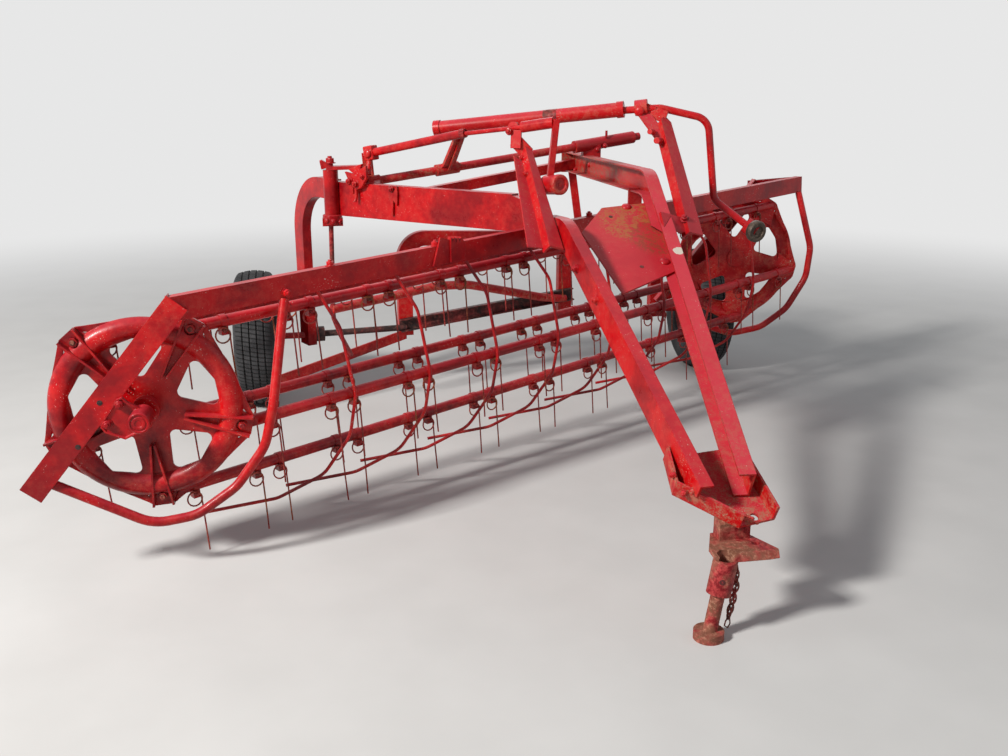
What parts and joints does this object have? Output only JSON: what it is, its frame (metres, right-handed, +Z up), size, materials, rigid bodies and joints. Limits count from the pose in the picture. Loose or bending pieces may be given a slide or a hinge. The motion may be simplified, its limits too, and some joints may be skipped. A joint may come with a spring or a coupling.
{
  "type": "bar rake",
  "caption": "Towed hay rake: an oblique reel of five tine bars between two spinning heads, on an A-frame with two wheels and a parking jack.",
  "frame": {"origin": "on the ground under the middle of the machine's bounding box", "axes": "+X to the right seen from the hitch end, +Y rearward along the wheels' planes, +Z up"},
  "size_m": [3.416, 3.245, 1.4977],
  "materials": {
    "red_paint": "brushed-on gloss enamel, sun faded on top faces",
    "wheel_paint": "dusty paint",
    "tooth_wire": "rusted spring wire with rests of paint",
    "rusty_steel": "rusted, with faded paint",
    "dark_steel": "greasy and dark",
    "tyre_rubber": "weathered"
  },
  "bodies": {
    "main_frame": {"basket_frame": "red_paint", "bearing_left": "red_paint", "bearing_right": "red_paint", "bell_crank": "red_paint", "crank_left": "red_paint", "crank_right": "red_paint", "cross_beam": "red_paint", "deck_plate": "red_paint", "drive_shaft": "dark_steel", "end_guards": "red_paint", "frame_leg_left": "red_paint", "frame_leg_right": "red_paint", "hanger_strap": "red_paint", "hitch_clevis": "red_paint", "hitch_plate": "red_paint", "lift_rod": "red_paint", "lift_tube_long": "red_paint", "lift_tube_short": "red_paint", "post_left": "red_paint", "rear_arch": "red_paint", "rear_bar": "dark_steel", "rockshaft": "red_paint", "rockshaft_mount": "red_paint", "side_beam_left": "red_paint", "stay_pipe": "red_paint", "strippers": "red_paint", "upright_left": "red_paint", "upright_right": "red_paint", "wheel_leg_left": "red_paint"},
    "left_wheel": {"tyre_left": "tyre_rubber", "rim_left": "wheel_paint"},
    "right_wheel": {"tyre_right": "tyre_rubber", "rim_right": "wheel_paint"},
    "left_reel_head": {"reel_head_left": "red_paint"},
    "right_reel_head": {"reel_head_right": "red_paint"},
    "parking_jack_leg": {"jack_leg": "rusty_steel"},
    "tine_bar_body_1": {"tine_bar_1": "red_paint", "teeth_1": "tooth_wire"},
    "tine_bar_body_2": {"tine_bar_2": "red_paint", "teeth_2": "tooth_wire"},
    "tine_bar_body_3": {"tine_bar_3": "red_paint", "teeth_3": "tooth_wire"},
    "tine_bar_body_4": {"tine_bar_4": "red_paint", "teeth_4": "tooth_wire"},
    "tine_bar_body_5": {"tine_bar_5": "red_paint", "teeth_5": "tooth_wire"}
  },
  "joints": [
    {"name": "left_wheel_spin", "type": "hinge", "parent": "main_frame", "child": "left_wheel", "pos_m": [-1.089, 1.008, 0.335], "axis": [1, 0, 0], "continuous": true},
    {"name": "right_wheel_spin", "type": "hinge", "parent": "main_frame", "child": "right_wheel", "pos_m": [1.35, 1.288, 0.335], "axis": [1, 0, 0], "continuous": true},
    {"name": "reel_spin", "type": "hinge", "parent": "main_frame", "child": "left_reel_head", "pos_m": [-1.32, -0.812, 0.556], "axis": [0, 1, 0], "continuous": true},
    {"name": "right_head_spin", "type": "hinge", "parent": "main_frame", "child": "right_reel_head", "pos_m": [1.29916, 0.703, 0.7162], "axis": [0, 1, 0], "continuous": true},
    {"name": "tine_bar_1_pivot", "type": "hinge", "parent": "left_reel_head", "child": "tine_bar_body_1", "pos_m": [-1.51613, -0.812, 0.78564], "axis": [0, 1, 0], "continuous": true},
    {"name": "tine_bar_2_pivot", "type": "hinge", "parent": "left_reel_head", "child": "tine_bar_body_2", "pos_m": [-1.1622, -0.812, 0.8135], "axis": [0, 1, 0], "continuous": true},
    {"name": "tine_bar_3_pivot", "type": "hinge", "parent": "left_reel_head", "child": "tine_bar_body_3", "pos_m": [-1.02634, -0.812, 0.4855], "axis": [0, 1, 0], "continuous": true},
    {"name": "tine_bar_4_pivot", "type": "hinge", "parent": "left_reel_head", "child": "tine_bar_body_4", "pos_m": [-1.29631, -0.812, 0.25493], "axis": [0, 1, 0], "continuous": true},
    {"name": "tine_bar_5_pivot", "type": "hinge", "parent": "left_reel_head", "child": "tine_bar_body_5", "pos_m": [-1.59901, -0.812, 0.44043], "axis": [0, 1, 0], "continuous": true},
    {"name": "parking_jack_slide", "type": "slide", "parent": "main_frame", "child": "parking_jack_leg", "axis": [0.1953, 0.0888, 0.9767], "range_m": [0, 0.095]}
  ],
  "couplings": [
    {"joint": "right_head_spin", "follows": "reel_spin", "ratio": 1},
    {"joint": "tine_bar_1_pivot", "follows": "reel_spin", "ratio": -1},
    {"joint": "tine_bar_2_pivot", "follows": "reel_spin", "ratio": -1},
    {"joint": "tine_bar_3_pivot", "follows": "reel_spin", "ratio": -1},
    {"joint": "tine_bar_4_pivot", "follows": "reel_spin", "ratio": -1},
    {"joint": "tine_bar_5_pivot", "follows": "reel_spin", "ratio": -1}
  ]
}
